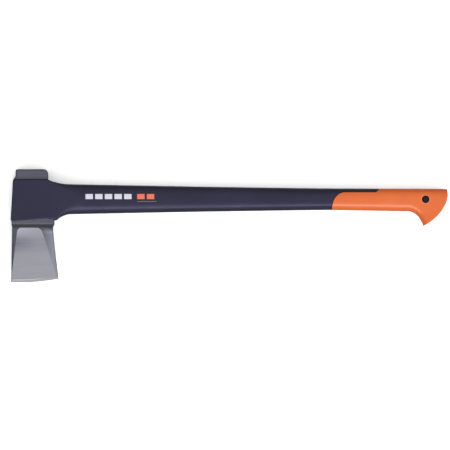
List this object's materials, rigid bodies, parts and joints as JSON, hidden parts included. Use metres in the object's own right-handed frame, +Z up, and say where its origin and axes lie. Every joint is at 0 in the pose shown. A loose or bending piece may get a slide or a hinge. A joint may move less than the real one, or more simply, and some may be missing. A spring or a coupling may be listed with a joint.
{
  "type": "splitting maul",
  "caption": "Long-handled splitting maul with a forged wedge head and square hammer poll, moulded into a hollow black composite handle with an orange hooked grip.",
  "frame": {"origin": "middle of the bounding box on the lower cheek of the collar, where the maul lies flat", "axes": "+X runs along the handle from the head to the pommel, +Y points out of the poll's striking face, +Z is up through the cheeks"},
  "size_m": [0.7699, 0.1994, 0.052],
  "materials": {
    "forged_steel": "dark coated forging with a ground cheek and a polished edge",
    "black_nylon": "satin moulded glass-filled nylon",
    "plug_nylon": "moulded nylon",
    "orange_grip": "fine textured soft-touch overmoulding",
    "pin_nylon": "moulded nylon, slightly dished ends"
  },
  "bodies": {
    "root": {"maul_head": "forged_steel", "handle_shaft": "black_nylon", "end_plug": "plug_nylon", "grip": "orange_grip", "cross_pin": "pin_nylon"}
  },
  "joints": []
}
